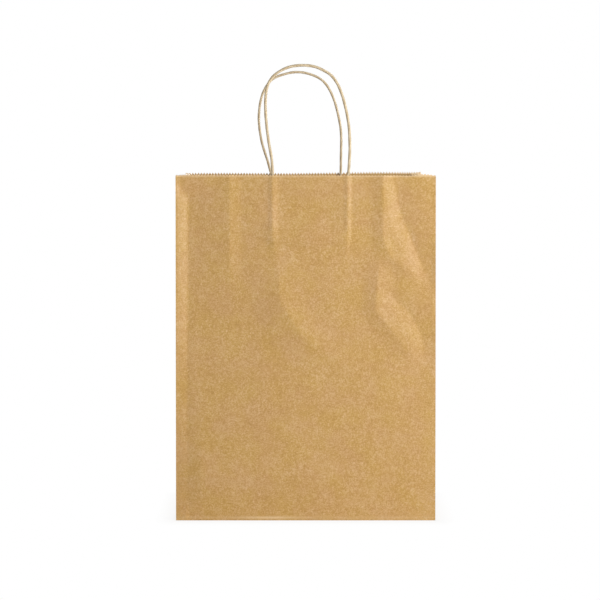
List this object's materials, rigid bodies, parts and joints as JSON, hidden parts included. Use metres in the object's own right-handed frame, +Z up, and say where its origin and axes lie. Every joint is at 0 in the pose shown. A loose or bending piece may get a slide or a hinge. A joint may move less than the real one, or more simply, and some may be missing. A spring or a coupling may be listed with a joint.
{
  "type": "paper carrier bag",
  "caption": "Brown kraft paper carrier bag with a serrated mouth, side gussets, a folded block bottom and twisted-paper loop handles; it stands open and empty.",
  "frame": {"origin": "centre of the bag's footprint, on the surface it stands on", "axes": "+Z up through the mouth, +X to the right across the front panel, +Y from the front panel to the back one"},
  "size_m": [0.26, 0.1252, 0.4556],
  "materials": {
    "kraft_paper": "matt brown kraft paper with fine fibres",
    "twisted_cord": "matt twisted kraft paper",
    "patch_paper": "matt brown kraft paper"
  },
  "bodies": {
    "root": {"paper_body": "kraft_paper", "front_handle_cord": "twisted_cord", "back_handle_cord": "twisted_cord", "front_patch_base": "patch_paper", "front_patch_cover": "patch_paper", "back_patch_base": "patch_paper", "back_patch_cover": "patch_paper"}
  },
  "joints": []
}
